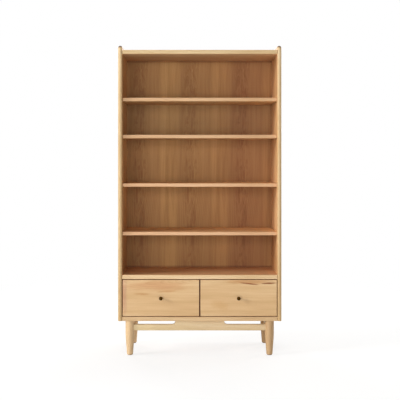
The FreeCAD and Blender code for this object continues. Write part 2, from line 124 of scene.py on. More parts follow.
def oak(name, axes, centre, heart, tones, taper=0.05, leaf_width=0, streaks=0.5, figure=0.16,
        ring_spacing=0.0045, polish=0.0):
    """Oiled oak, sawn from one log. To the eye it is a warm pale brown, with broad streaks along the grain,
    fine darker fibres and open pores, a low sheen that the fibres break up, and darker end grain.

    axes names the object axes that lie across the board, through it and along its grain, and heart is where
    the log's middle lies from the board's centre, across and through, in metres. The rings are a wave on
    the distance from the heart, which drifts along the grain by the taper and a slow wander, so that a
    flat-sawn face shows arches and an end shows arcs. The tone is a weighted sum of streaks, patches,
    fibres, the rings' early wood and the pores, and picks a colour between the tones, which run from light
    to dark. With a leaf width the figure repeats across, as the leaves of a sliced veneer do. Polish lowers
    the roughness.

    Real fibres and pores are under 0.3 mm wide and real rings about 2 mm apart. They are all drawn coarser,
    by the sizes below and the ring spacing, because a pixel of the render covers about 6 mm."""
    wander = 0.030               # how far the log's middle strays from a straight line
    stretch = 0.045              # along the grain the rings' own unevenness is this much slower
    # Sizes are across, through and along the grain.
    wander_size = (0.35, 0.35, 0.5)
    fibre_size = (0.0016, 0.0016, 0.11)
    pore_size = (0.0007, 0.0007, 0.009)
    band_size = (0.022, 0.030, 0.45)
    patch_size = (0.09, 0.09, 1.1)
    patch_weight, fibre_weight, pore_weight = 0.55, 0.34, 0.10
    lightest = -0.02             # the tone before any feature is added, where the streaks average to nothing
    tone_places = (0.12, 0.42, 0.72, 1.0)
    smoothest, roughest = 0.52 - polish, 0.70 - polish

    material, tree, coordinates = start_material(name)
    centred = add(tree, "ShaderNodeMapping", {
        "Vector": coordinates.outputs["Object"], "Location": tuple(-np.array(centre))})
    apart = add(tree, "ShaderNodeSeparateXYZ", {"Vector": centred.outputs["Vector"]})
    across = apart.outputs[axes[0]]
    if leaf_width:
        across = add(tree, "ShaderNodeMath", {0: across, 1: leaf_width / 2, 2: -leaf_width / 2},
                     operation="WRAP").outputs[0]
    local = add(tree, "ShaderNodeCombineXYZ", {
        "X": across, "Y": apart.outputs[axes[1]], "Z": apart.outputs[axes[2]]}).outputs[0]

    def growth(size, detail=2.0, roughness=0.5, offset=0.0):
        """Noise of the place divided by the size: what differs in the wood from one spot to the next."""
        scaled = add(tree, "ShaderNodeMapping", {
            "Vector": local, "Scale": tuple(1 / np.array(size)), "Location": (offset, offset, offset)})
        return add(tree, "ShaderNodeTexNoise", {
            "Vector": scaled.outputs["Vector"], "Scale": 1.0, "Detail": detail, "Roughness": roughness})

    drift = add(tree, "ShaderNodeVectorMath", {
        0: growth(wander_size, 1.0, offset=heart[0] * 100).outputs["Color"],
        1: (wander * 2, wander * 2, 0), 2: (-wander, -wander, 0)}, operation="MULTIPLY_ADD")
    strayed = add(tree, "ShaderNodeVectorMath", {0: local, 1: drift.outputs[0]}, operation="ADD")
    bent = add(tree, "ShaderNodeSeparateXYZ", {"Vector": strayed.outputs[0]})
    deep = add(tree, "ShaderNodeMath", {
        0: bent.outputs["Z"], 1: taper, 2: bent.outputs["Y"]}, operation="MULTIPLY_ADD")
    around = add(tree, "ShaderNodeCombineXYZ", {
        "X": bent.outputs["X"], "Y": deep.outputs[0], "Z": bent.outputs["Z"]})
    from_heart = add(tree, "ShaderNodeMapping", {
        "Vector": around.outputs[0], "Location": (-heart[0], -heart[1], 0), "Scale": (1, 1, stretch)})
    rings = add(tree, "ShaderNodeTexWave", {
        "Vector": from_heart.outputs[0], "Scale": wave_period / ring_spacing, "Distortion": 2.2,
        "Detail": 2.0, "Detail Scale": 0.6, "Detail Roughness": 0.55},
        wave_type="RINGS", rings_direction="Z", wave_profile="SAW")
    early_wood = add(tree, "ShaderNodeMath", {0: rings.outputs["Fac"], 1: 3.0}, operation="POWER").outputs[0]

    fibres = growth(fibre_size, 3.0, 0.6).outputs["Fac"]
    pores = add(tree, "ShaderNodeMapRange", {
        "Value": growth(pore_size, 1.0).outputs["Fac"], "From Min": 0.56, "From Max": 0.70}).outputs[0]
    bands = growth(band_size, 2.0, 0.55, 3.1).outputs["Fac"]
    patches = growth(patch_size, 1.0, 0.5, 7.3).outputs["Fac"]

    tone = lightest - streaks / 2
    features = ((bands, streaks), (patches, patch_weight), (fibres, fibre_weight), (early_wood, figure),
                (pores, pore_weight))
    for feature, weight in features:
        tone = add(tree, "ShaderNodeMath", {
            0: feature, 1: weight, 2: tone}, operation="MULTIPLY_ADD").outputs[0]
    colour = add(tree, "ShaderNodeValToRGB", {"Fac": tone}, tuple(zip(tone_places, tones)))
    roughness = add(tree, "ShaderNodeMapRange", {"Value": fibres, "To Min": smoothest, "To Max": roughest})
    hollows = add(tree, "ShaderNodeMath", {0: fibres, 1: pores}, operation="SUBTRACT")
    bump = add(tree, "ShaderNodeBump", {"Height": hollows.outputs[0], "Strength": 0.25, "Distance": 0.0003})

    feed(tree, tree.nodes["Principled BSDF"], {
        "Base Color": colour.outputs["Color"], "Roughness": roughness.outputs[0], "Normal": bump.outputs[0],
        "IOR": 1.48, "Specular IOR Level": 0.3})
    for way in (1, -1):
        tint_faces(material, axes[2], (end_grain_span[0] * way, end_grain_span[1] * way), end_grain)
    return material


def finish_piece(name, vertices, faces, body, nodes, slot, material):
    """Makes one mesh piece that rides on a body and stands for CAD nodes. Its soft edges are shaded round
    and its flats flat: each normal is the mean of its faces' normals, weighted by their areas."""
    sharp_angle = np.radians(32)
    mesh = bpy.data.meshes.new(name)
    mesh.from_pydata(vertices.reshape(-1, 3), [], faces)
    mesh.materials.append(material)
    mesh.shade_smooth()
    piece = bpy.data.objects.new(name, mesh)
    bpy.context.scene.collection.objects.link(piece)
    mesh.set_sharp_from_angle(angle=sharp_angle)
    normals = piece.modifiers.new("flats stay flat", "WEIGHTED_NORMAL")
    normals.keep_sharp = True
    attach(piece, body)
    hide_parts(*nodes)
    return piece


def rounded_edge(radius, size, points=7):
    """Radii and heights of a turned piece's rounded end. At turn t, from 0 to a right angle, the radius is
    radius - size * (1 - sin t), and the height above the end is size * (1 - cos t)."""
    turn = np.linspace(0, np.pi / 2, points)
    return radius - size * (1 - np.sin(turn)), size * (1 - np.cos(turn))


def turned(name, places, directions, radii, heights, sides, *finish):
    """A turned piece: its outline, given as radii at heights, is carried round an axis through each place.

    directions holds three unit vectors, two across and one along the axis. A point of the surface is
    place + radius * (cos a * first + sin a * second) + height * third, with a from 0 to a full turn, and a
    flat face closes each end. finish is what finish_piece takes after the faces."""
    places = np.atleast_2d(places)
    first, second, along = np.array(directions, float)
    turn = np.arange(sides) * 2 * np.pi / sides
    circle = np.cos(turn)[:, None] * first + np.sin(turn)[:, None] * second
    shell = np.asarray(radii)[:, None, None] * circle + np.asarray(heights)[:, None, None] * along
    vertices = places[:, None, None, :] + shell
    rings = len(radii)
    index = np.arange(len(places) * rings * sides).reshape(len(places), rings, sides)
    after = np.roll(index, -1, axis=2)
    walls = np.stack([index[:, :-1], after[:, :-1], after[:, 1:], index[:, 1:]], axis=-1).reshape(-1, 4)
    ends = np.concatenate([index[:, 0, ::-1], index[:, -1]])
    return finish_piece(name, vertices, walls.tolist() + ends.tolist(), *finish)


upright = ((1, 0, 0), (0, 1, 0), (0, 0, 1))
leg_radius = 0.026
leg_shoulder = 0.138           # height where the curve meets the straight upper part
leg_knee = 0.094               # height where the straight taper meets the curve
leg_knee_radius = 0.0244
leg_foot_radius = 0.0176
leg_foot_round = 0.0025
leg_sides = 72
leg_hearts = {"left": (0.09, 0.06), "right": (-0.07, 0.06)}
leg_tones = {"left": ("#EFDAB9", "#DFBF95", "#C9A575", "#9D784A"),
             "right": ("#D4BA99", "#C5A37A", "#B28C60", "#8B653B")}

legs_low, legs_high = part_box("front_legs")
rear_low, rear_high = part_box("rear_legs")
leg_x = legs_high.x - leg_radius
leg_rows = {"front": (legs_low.y + legs_high.y) / 2, "rear": (rear_low.y + rear_high.y) / 2}
foot_radii, foot_heights = rounded_edge(leg_foot_radius, leg_foot_round)
# Between knee and shoulder the radius falls short of the leg's own by the square of a share, so that the
# curve meets the straight part smoothly.
curve_share = np.linspace(0, 1, 13)
curve_radii = leg_radius - (leg_radius - leg_knee_radius) * (1 - curve_share) ** 2
curve_heights = leg_knee + (leg_shoulder - leg_knee) * curve_share
leg_radii = np.concatenate([foot_radii, curve_radii, [leg_radius]])
leg_heights = np.concatenate([legs_low.z + foot_heights, curve_heights, [legs_high.z]])
for row, leg_y in leg_rows.items():
    for side, x in (("left", -leg_x), ("right", leg_x)):
        wood = oak("turned oak, " + row + " " + side + " leg", "XYZ", (x, leg_y, legs_low.z),
                   leg_hearts[side], leg_tones[side], streaks=0.35)
        turned(row + "_leg_" + side, (x, leg_y, 0), upright, leg_radii, leg_heights, leg_sides,
               "cabinet", [row + "_legs"], "oak_turned", wood)


# Foot glides
# A round nylon pad under each leg, moulded in a brown near the wood's and pressed on.
# It slides on the floor, and its edge is rounded so that it doesn't catch.

def moulded_plastic(name, tones):
    """Moulded nylon: a matt brown that varies a little between two tones, as fine noise does, with a pebbled
    skin. The pebbles, about 0.1 mm wide on a real pad, are drawn 0.6 mm wide, so that they show close up."""
    grit = 0.0006
    material, tree, coordinates = start_material(name)
    pebbles = add(tree, "ShaderNodeTexNoise", {
        "Vector": coordinates.outputs["Object"], "Scale": 1 / grit, "Detail": 1.0})
    colour = add(tree, "ShaderNodeValToRGB", {"Fac": pebbles.outputs["Fac"]}, tuple(zip((0.3, 0.7), tones)))
    bump = add(tree, "ShaderNodeBump", {
        "Height": pebbles.outputs["Fac"], "Strength": 0.3, "Distance": 0.0001})
    feed(tree, tree.nodes["Principled BSDF"], {
        "Base Color": colour.outputs["Color"], "Normal": bump.outputs[0], "Roughness": 0.55})
    return material


glide_round = 0.0008
glide_sides = 48
glides_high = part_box("foot_glides")[1]
glide_radius = glides_high.x - leg_x
glide_places = [(x, y, 0) for y in leg_rows.values() for x in (-leg_x, leg_x)]
glide_radii, glide_heights = rounded_edge(glide_radius, glide_round, points=5)
turned("foot_glides_pads", glide_places, upright,
       np.append(glide_radii, glide_radius), np.append(glide_heights, glides_high.z), glide_sides,
       "cabinet", ["foot_glides"], "glide_plastic",
       moulded_plastic("brown moulded nylon", ("#6E5640", "#7B6149")))


# Rails of the stand
# The front and the rear rail are one oak board each, with a long slot cut at both ends, so that only their
# middle reaches the carcass. Plain side rails join the front legs to the rear ones, all with tenons.

def board(name, axes, corners, low, high, *finish):
    """A board cut to an outline, with its edges rounded on both faces.

    axes names the two axes of the outline and the one through the board. Each corner is (a, b, radius,
    edge): an arc of that radius cuts the corner, and edge rounds the side of the board that follows it.
    Ring t, with t from 0 to a right angle, is the outline moved inwards by edge * (1 - sin t), at
    edge * (1 - cos t) above the lower face, and the same rings in reverse close the upper face. Where two
    sides meet at an angle, the point moves so that each side moves inwards by its own edge. finish is what
    finish_piece takes after the faces."""
    arc_steps = 10
    round_steps = 7
    nearly_straight = 0.9995     # cosine of the turn between two sides, above which no mitre is worked out
    spots = np.array([corner[:2] for corner in corners], float)
    backwards = np.roll(spots, 1, axis=0) - spots
    onwards = np.roll(spots, -1, axis=0) - spots
    backwards /= np.linalg.norm(backwards, axis=1)[:, None]
    onwards /= np.linalg.norm(onwards, axis=1)[:, None]
    points, edges = [], []
    for spot, back, on, (_, _, radius, edge) in zip(spots, backwards, onwards, corners):
        if radius:
            middle = spot + (back + on) * radius / abs(back[0] * on[1] - back[1] * on[0])
            start = spot + back * (back @ (middle - spot))
            end = spot + on * (on @ (middle - spot))
            share = np.linspace(0, np.pi / 2, arc_steps + 1)[:, None]
            points.append(middle + (start - middle) * np.cos(share) + (end - middle) * np.sin(share))
            edges += [edge] * (arc_steps + 1)
        else:
            points.append(spot[None])
            edges.append(edge)
    points = np.concatenate(points)
    edge_after = np.array(edges, float)[:, None]
    edge_before = np.roll(edge_after, 1, axis=0)
    run = np.roll(points, -1, axis=0) - points
    area = (points[:, 0] * run[:, 1] - points[:, 1] * run[:, 0]).sum()
    out_after = np.sign(area) * np.stack([run[:, 1], -run[:, 0]], axis=1)
    out_after /= np.linalg.norm(out_after, axis=1)[:, None]
    out_before = np.roll(out_after, 1, axis=0)
    cosine = (out_after * out_before).sum(axis=1)[:, None]
    bend = np.maximum(1 - cosine ** 2, 1e-9)
    mitred = (edge_before * (out_before - cosine * out_after)
              + edge_after * (out_after - cosine * out_before)) / bend
    straight = (edge_before + edge_after) / 2 * (out_before + out_after) / 2
    inset = np.where(cosine > nearly_straight, straight, mitred)
    rise = np.maximum(edge_before, edge_after)[:, 0]

    turn = np.linspace(0, np.pi / 2, round_steps)[:, None]
    flat = points - inset * (1 - np.sin(turn))[:, :, None]
    height = rise * (1 - np.cos(turn))
    rings = np.concatenate([flat, flat[::-1]])
    heights = np.concatenate([low + height, high - height[::-1]])
    vertices = np.empty((*heights.shape, 3))
    vertices[..., "XYZ".index(axes[0])] = rings[..., 0]
    vertices[..., "XYZ".index(axes[1])] = rings[..., 1]
    vertices[..., "XYZ".index(axes[2])] = heights

    index = np.arange(heights.size).reshape(heights.shape)
    after = np.roll(index, -1, axis=1)
    walls = np.stack([index[:-1], after[:-1], after[1:], index[1:]], axis=-1).reshape(-1, 4)
    ends = np.stack([index[0, ::-1], index[-1]])
    # The faces look outwards if the outline runs against the clock and its axes follow each other in XYZXY.
    if area * (1 if axes in "XYZXY" else -1) < 0:
        walls, ends = walls[:, ::-1], ends[:, ::-1]
    return finish_piece(name, vertices, walls.tolist() + ends.tolist(), *finish)


arris = 0.0006                 # every edge that isn't rounded is eased with a touch of sandpaper
rail_round = 0.003
slot_height = 0.022
slot_corner = 0.017
block_x = 0.143                # half the length of the full-height middle
rail_end_inset = 0.004         # a rail's hollowed end reaches this far behind the round leg's face
rail_heart = (0.19, 0.03)
side_rail_heart = (0.04, 0.06)
rail_tones = ("#F4EBC9", "#E4CEA3", "#CDAF7E", "#A48553")
rail_outer_face = (-0.5, -0.9)
rail_right_darker = ("#F3EBEA", ("X", 0.04, -0.32))   # darker on the faces that look forwards, more so to the right

end_x = leg_x - leg_radius + rail_end_inset
for row in ("front", "rear"):
    low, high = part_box(row + "_rail")
    step = high.z - slot_height
    wood = oak("oiled oak, " + row + " rail", "ZYX", ((low.x + high.x) / 2, low.y, low.z),
               rail_heart, rail_tones)
    tint_faces(wood, "Y", rail_outer_face, *rail_right_darker)
    board(row + "_rail_board", "XZY", [
        (-end_x, low.z, 0, rail_round), (end_x, low.z, 0, 0), (end_x, step, 0, arris),
        (block_x, step, slot_corner, arris), (block_x, high.z, 0, 0),
        (-block_x, high.z, 0, arris), (-block_x, step, slot_corner, arris), (-end_x, step, 0, 0),
    ], low.y, high.y, "cabinet", [row + "_rail"], "oak_turned", wood)

end_front = leg_rows["front"] + leg_radius - rail_end_inset
end_rear = leg_rows["rear"] - leg_radius + rail_end_inset
for side in ("left", "right"):
    low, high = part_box("side_rail_" + side)
    wood = oak("oiled oak, " + side + " side rail", "ZXY", (low.x, 0, low.z), side_rail_heart, rail_tones)
    board("side_rail_" + side + "_board", "YZX", [
        (end_front, low.z, 0, rail_round), (end_rear, low.z, 0, 0), (end_rear, high.z, 0, arris),
        (end_front, high.z, 0, 0),
    ], low.x, high.x, "cabinet", ["side_rail_" + side], "oak_turned", wood)


# Sides of the carcass
# Two full-height solid oak boards. Their front and top edges are worked to a full round and stand proud of
# every panel, and the front corner at the top is a generous arc, whose end grain drinks the oil and is dark.

side_round = 0.012
horn_radius = 0.018
side_polish = 0.16
side_hearts = {"left": (0.12, 0.07), "right": (-0.10, 0.07)}
side_tones = {"left": ("#EBD3A9", "#DDBB8A", "#C8A06A", "#A17947"),
              "right": ("#F4DBB0", "#E6C290", "#D0A66E", "#A77E4A")}
front_edge_span = (-0.2, -0.7)
front_edge = {"left": "#F2F4F6", "right": "#E9EBED"}
horn_span = (0.15, 0.70)
# The upward faces near the front of the top corner are tinted darker still, over the end grain's own tint.
horn_top_darker = "#806646"
horn_full, horn_gone = 0.014, 0.030    # behind the front edge
# The faces inside the bays carry painted shade: a warmer, darker colour that stands in for their shade and
# the warm light bounced between them, and a deeper one in the lowest bay and, on the right side, at the rear
# and under the top, where the least light falls. Each of the deeper tints has a reach: an axis, where it is
# full, and where it has gone.
inner_start, inner_full = 0.7, 0.95
inner_face_painted_shade = "#FFF2EC"
lowest_bay_painted_shade = ("#E5DDD2", ("Z", 0.56, 0.76))
right_rear_painted_shade = ("#E4DAD6", ("Y", 0.06, -0.08))
under_top_painted_shadow = ("#EAE2DE", ("Z", 1.70, 1.45))
painted_inner_shades = {"left": [lowest_bay_painted_shade], "right": [lowest_bay_painted_shade, right_rear_painted_shade, under_top_painted_shadow]}

for side, inwards in (("left", 1), ("right", -1)):
    low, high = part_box("side_panel_" + side)
    inner_span = (inner_start * inwards, inner_full * inwards)
    wood = oak("oiled oak, " + side + " side", "YXZ", (low.x, 0, (low.z + high.z) / 2), side_hearts[side],
               side_tones[side], polish=side_polish)
    # Painted shade on the faces inside the bays, and deeper painted shade within each reach.
    tint_faces(wood, "X", inner_span, inner_face_painted_shade)
    for colour, reach in painted_inner_shades[side]:
        tint_faces(wood, "X", inner_span, colour, reach)
    tint_faces(wood, "Y", front_edge_span, front_edge[side])
    tint_faces(wood, "Z", horn_span, horn_top_darker, ("Y", low.y + horn_full, low.y + horn_gone))
    board("side_panel_" + side + "_board", "YZX", [
        (low.y, low.z, 0, side_round), (low.y, high.z, horn_radius, side_round),
        (high.y, high.z, 0, arris), (high.y, low.z, 0, arris),
    ], low.x, high.x, "cabinet", ["side_panel_" + side], "oak_board", wood)


# Fixed panels
# The bottom, the deck over the drawers and the top are solid oak boards between the sides, with their
# grain from side to side and a small round on the front edges. Their tongues sit in the sides.

panel_round = 0.0025
top_round = 0.006
bottom_tones = ("#E8D2AD", "#DBBB8F", "#C69F71", "#9F7949")
deck_tones = ("#F6E3BF", "#E8CA9F", "#D1AD7D", "#A98352")
top_tones = ("#E9D8B2", "#DBC093", "#C6A475", "#9F7C4C")
# The boards' faces carry painted shade: undersides and upper faces are tinted warmer and darker, in place of
# the shade and warm bounced light inside the bays, and the deck's upper face is darker still towards the
# rear.
underside_painted_shade = "#F6E2DA"
face_up = (0.5, 0.95)
face_down = (-0.5, -0.95)
rear_full, rear_gone = 0.020, 0.090    # in front of the rear edge, and behind the front edge
sides_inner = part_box("side_panel_right")[0].x
# Each board: its log, the round of its front edge, the painted shade of its upper face and of that face's
# rear part, and its tones.
fixed_boards = (
    ("bottom_panel", (0.05, -0.06), panel_round, "#F6E2DA", None, bottom_tones),
    ("deck_panel", (-0.12, -0.06), panel_round, "#F9DDCC", "#E2D5D2", deck_tones),
    ("top_panel", (0.16, -0.06), top_round, "#FFF1E6", None, top_tones),
)
for name, heart, edge, upper_face_painted_shade, rear_painted_shade, tones in fixed_boards:
    low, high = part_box(name)
    wood = oak("oiled oak, " + name.replace("_", " "), "YZX", (0, low.y, low.z), heart, tones)
    # Painted shade on the upper and lower faces, and on the upper face's rear part where a board has one.
    tint_faces(wood, "Z", face_up, upper_face_painted_shade)
    tint_faces(wood, "Z", face_down, underside_painted_shade)
    if rear_painted_shade:
        tint_faces(wood, "Z", face_up, rear_painted_shade, ("Y", high.y - rear_full, low.y + rear_gone))
    board(name + "_board", "XYZ", [
        (-sides_inner, low.y, 0, edge), (sides_inner, low.y, 0, 0),
        (sides_inner, high.y, 0, arris), (-sides_inner, high.y, 0, 0),
    ], low.z, high.z, "cabinet", [name], "oak_board", wood)


# Back panel
# A thin sheet faced with leaves of sliced oak veneer, laid side by side from the same flitch, so the same
# arched figure comes back three times. It slides into grooves and is darker than the solid boards.

def dress(node, material):
    """Gives a CAD node its finish, in place of whatever its mesh came with."""
    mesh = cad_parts[node].data
    mesh.materials.clear()
    mesh.materials.append(material)


veneer_tones = ("#C9A062", "#B78B54", "#9D7140", "#744F27")
veneer_rings = 0.009           # sliced flat, the rings lie wider apart than in a board
leaf_width = 0.318
leaf_middle = -0.052           # of the middle leaf, along X
redder, redder_from, redder_full = "#F1E6EB", -0.05, 0.30       # along X
# Painted shade: the sheet is tinted darker towards the bottom, where the lower bays get less light.
lower_painted_shade, lower_shade_from, lower_shade_full = "#EEE9E2", 1.05, 0.50     # along Z
heartwood = "#EAE4E4"
sapwood_place = 0.184          # a paler stripe in each leaf, from the leaf's middle
sapwood_half = 0.026
curled = "#E6DCD3"
curl_size = (0.020, 1, 0.070)
curls_gone, curls_full = 0.062, 0.020                           # from the leaf's middle
curl_low, curl_high = 0.42, 0.66                                # of the noise
# Stretches of painted shade across the inner face: a height, how far from it the tint has gone and is full,
# and its colour. They paint the shade in the corners by the deck and the top, and a greyer shade behind the
# fourth bay.
groove_heights = (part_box("deck_panel")[1].z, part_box("top_panel")[0].z)
painted_shade_stretches = [(height, 0.014, 0.005, "#DACCC0") for height in groove_heights]
painted_shade_stretches.append((1.38, 0.14, 0.09, "#F5FAFF"))

veneer = oak("sliced oak veneer, back", "XYZ", (leaf_middle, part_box("back_panel")[0].y, 0.9), (0.0, 0.035),
             veneer_tones, taper=0.035, leaf_width=leaf_width, streaks=0.50, figure=0.19,
             ring_spacing=veneer_rings)
leaves = veneer.node_tree
coordinates = add(leaves, "ShaderNodeTexCoord")
place = add(leaves, "ShaderNodeSeparateXYZ", {"Vector": coordinates.outputs["Object"]})

redder_share = add(leaves, "ShaderNodeMapRange", {
    "Value": place.outputs["X"], "From Min": redder_from, "From Max": redder_full},
    interpolation_type="SMOOTHSTEP")
tint(veneer, redder_share.outputs[0], redder)
# Painted shade, darker towards the bottom.
lower_shade_share = add(leaves, "ShaderNodeMapRange", {
    "Value": place.outputs["Z"], "From Min": lower_shade_from, "From Max": lower_shade_full},
    interpolation_type="SMOOTHSTEP")
tint(veneer, lower_shade_share.outputs[0], lower_painted_shade)

# Heartwood lies away from the pale stripe: its share grows with the distance from the stripe's middle.
in_leaf = add(leaves, "ShaderNodeMath", {
    0: place.outputs["X"], 1: leaf_middle + leaf_width, 2: leaf_middle}, operation="WRAP")
from_sap = add(leaves, "ShaderNodeMath", {
    0: in_leaf.outputs[0], 1: leaf_middle + sapwood_place}, operation="SUBTRACT")
off_sap = add(leaves, "ShaderNodeMath", {0: from_sap.outputs[0]}, operation="ABSOLUTE")
heartwood_share = add(leaves, "ShaderNodeMapRange", {
    "Value": off_sap.outputs[0], "From Min": sapwood_half, "From Max": 3 * sapwood_half},
    interpolation_type="SMOOTHSTEP")
tint(veneer, heartwood_share.outputs[0], heartwood)

# Curled grain lies in each leaf's middle, as noise whose share falls off to both sides. The curls, about
# 5 mm wide in real oak, are drawn 20 mm wide, so that they show.
off_middle = add(leaves, "ShaderNodeMath", {0: place.outputs["X"], 1: leaf_middle}, operation="SUBTRACT")
from_middle = add(leaves, "ShaderNodeMath", {
    0: off_middle.outputs[0], 1: leaf_width / 2}, operation="PINGPONG")
curls_allowed = add(leaves, "ShaderNodeMapRange", {
    "Value": from_middle.outputs[0], "From Min": curls_gone, "From Max": curls_full})
on_leaf = add(leaves, "ShaderNodeCombineXYZ", {"X": in_leaf.outputs[0], "Z": place.outputs["Z"]})
curl_place = add(leaves, "ShaderNodeMapping", {
    "Vector": on_leaf.outputs[0], "Scale": tuple(1 / np.array(curl_size))})
curls = add(leaves, "ShaderNodeTexNoise", {
    "Vector": curl_place.outputs["Vector"], "Scale": 1.0, "Detail": 2.0, "Distortion": 1.5})
curl_share = add(leaves, "ShaderNodeMapRange", {
    "Value": curls.outputs["Fac"], "From Min": curl_low, "From Max": curl_high,
    "To Max": curls_allowed.outputs[0]})
tint(veneer, curl_share.outputs[0], curled)

facing = add(leaves, "ShaderNodeSeparateXYZ", {"Vector": coordinates.outputs["Normal"]})
inner_side = add(leaves, "ShaderNodeMath", {0: facing.outputs["Y"], 1: -0.5}, operation="LESS_THAN")
# Painted shade along each stretch, on the inner face only.
for height, gone, full, colour in painted_shade_stretches:
    above = add(leaves, "ShaderNodeMath", {0: place.outputs["Z"], 1: height}, operation="SUBTRACT")
    away = add(leaves, "ShaderNodeMath", {0: above.outputs[0]}, operation="ABSOLUTE")
    near = add(leaves, "ShaderNodeMapRange", {
        "Value": away.outputs[0], "From Min": gone, "From Max": full, "To Max": inner_side.outputs[0]})
    tint(veneer, near.outputs[0], colour)
dress("back_panel", veneer)


# Drawer divider and runners
# An upright between the drawers, housed above and below, with the same oak on its edge. The runners are
# hardwood strips glued to the uprights, bare and polished by use.

bare_tones = ("#F1DDB9", "#E2C69A", "#CDAA7B", "#A98656")
divider_heart = (0.1, 0.05)
divider_edge_painted_shade = "#5C2A00"       # painted shade on the front edge, so that the gap between the drawers reads dark
edge_gone, edge_full = 0.012, 0.004    # behind the front edge
runner_heart = (0.03, 0.04)

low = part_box("drawer_divider")[0]
wood = oak("oiled oak, divider", "YXZ", low, divider_heart, bottom_tones)
coordinates = add(wood.node_tree, "ShaderNodeTexCoord")
place = add(wood.node_tree, "ShaderNodeSeparateXYZ", {"Vector": coordinates.outputs["Object"]})
# Painted shade on the divider's front edge, seen in the gap between the drawers.
near = add(wood.node_tree, "ShaderNodeMapRange", {
    "Value": place.outputs["Y"], "From Min": low.y + edge_gone, "From Max": low.y + edge_full})
tint(wood, near.outputs[0], divider_edge_painted_shade)
dress("drawer_divider", wood)
for side in ("left", "right"):
    for wall in ("outer", "inner"):
        name = side + "_" + wall + "_runner"
        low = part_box(name)[0]
        dress(name, oak("bare oak, " + name.replace("_", " "), "ZXY", low, runner_heart, bare_tones))


# Loose shelves
# Four solid oak boards with their front edges eased, set back from the sides' edges. They lie on pins, so
# each can be lifted out.

shelf_round = 0.002
# Painted shade: the shelves' upper and lower faces are tinted warmer, in place of the warm bounced light
# inside the bays.
shelf_faces_painted_shade = "#FFF7E1"
shelf_tones = ("#ECCAA3", "#E1B58C", "#CD9D71", "#A87B4C")
upper_shelf_tones = ("#E1C29C", "#D6AE85", "#C3976C", "#A07648")
shelf_boards = (((0.13, -0.05), shelf_tones), ((-0.06, 0.07), shelf_tones),
                ((0.02, -0.08), upper_shelf_tones), ((-0.15, -0.06), upper_shelf_tones))
for number, (heart, tones) in enumerate(shelf_boards, 1):
    name = "shelf_" + str(number)
    low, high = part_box(name)
    wood = oak("oiled oak, " + name.replace("_", " "), "YZX", (0, low.y, low.z), heart, tones)
    tint_faces(wood, "Z", face_up, shelf_faces_painted_shade)
    tint_faces(wood, "Z", face_down, shelf_faces_painted_shade)
    board(name + "_board", "XYZ", [
        (low.x, low.y, 0, shelf_round), (high.x, low.y, 0, arris),
        (high.x, high.y, 0, arris), (low.x, high.y, 0, arris),
    ], low.z, high.z, "cabinet", [name], "oak_board", wood)


# Shelf pins and leg studs
# Turned steel, zinc plated, pushed into holes in the sides and in the legs. The pins are passivated to a
# dull yellow near the wood's colour, and the hidden studs are left bright and slightly blue.

def zinc_plate(name, along, tones=("#B4B8BC", "#CDD0D2")):
    """Zinc-plated steel: a clouded, half-bright metal, as noise between two tones, with faint rings from the
    tool, which are a wave along the axis named. The rings, 0.1 mm apart on real pins, are drawn 0.4 mm
    apart, so that they show close up."""
    tool_step = 0.0004
    cloud_size = 0.0025
    material, tree, coordinates = start_material(name)
    rings = add(tree, "ShaderNodeTexWave", {
        "Vector": coordinates.outputs["Object"], "Scale": wave_period / tool_step, "Distortion": 1.5},
        bands_direction=along)
    cloud = add(tree, "ShaderNodeTexNoise", {
        "Vector": coordinates.outputs["Object"], "Scale": 1 / cloud_size, "Detail": 3.0})
    colour = add(tree, "ShaderNodeValToRGB", {"Fac": cloud.outputs["Fac"]}, tuple(zip((0.3, 0.7), tones)))
    roughness = add(tree, "ShaderNodeMapRange", {
        "Value": cloud.outputs["Fac"], "To Min": 0.24, "To Max": 0.42})
    bump = add(tree, "ShaderNodeBump", {
        "Height": rings.outputs["Fac"], "Strength": 0.1, "Distance": 0.00005})
    feed(tree, tree.nodes["Principled BSDF"], {
        "Base Color": colour.outputs["Color"], "Roughness": roughness.outputs[0], "Normal": bump.outputs[0],
        "Metallic": 1.0})
    return material


crossways = ((0, 1, 0), (0, 0, 1), (1, 0, 0))
pin_radius = 0.003
pin_dome = 0.0012
pin_reach = 0.008              # out of the side, under the shelf
pin_inset = 0.040              # from the shelf's front and rear edges
pin_sides = 28
yellow_passivated = ("#8E6A3C", "#AA8450")

pins_low, pins_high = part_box("shelf_pins")
low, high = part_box("shelf_1")
pin_length = pins_high.x - sides_inner + pin_reach
pin_places = [(x, y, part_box("shelf_" + str(number))[0].z - pin_radius)
              for x in (pins_low.x, pins_high.x - pin_length)
              for y in (low.y + pin_inset, high.y - pin_inset)
              for number in (1, 2, 3, 4)]
end_radii, end_heights = rounded_edge(pin_radius, pin_dome)
pin_radii = np.concatenate([end_radii, end_radii[::-1]])
pin_heights = np.concatenate([end_heights, pin_length - end_heights[::-1]])
turned("shelf_pins_turned", pin_places, crossways, pin_radii, pin_heights, pin_sides,
       "cabinet", ["shelf_pins"], "steel",
       zinc_plate("yellow zinc-plated steel pins", "X", yellow_passivated))
dress("leg_studs", zinc_plate("zinc-plated steel studs", "Z"))


# Drawer boxes
# Sides, back and bottom of each drawer: bare pale oak, sanded, dovetailed at the corners. The sides' tails
# show against the darker end grain of the front. Bare oak looks drier and paler than the oiled boards.

for side, sign in (("left", -1), ("right", 1)):
    box_pieces = (("outer_side", "bare oak", "ZXY", (0.07, 0.05 * sign)),
                  ("inner_side", "bare oak", "ZXY", (0.07, 0.05 * sign)),
                  ("back", "bare oak", "ZYX", (-0.03, 0.06)),
                  ("bottom", "bare oak sheet", "YZX", (0.1 * sign, 0.04)))
    for piece, kind, axes, heart in box_pieces:
        name = side + "_drawer_" + piece
        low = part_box(name)[0]
        dress(name, oak(kind + ", " + name.replace("_", " "), axes, low, heart, bare_tones))
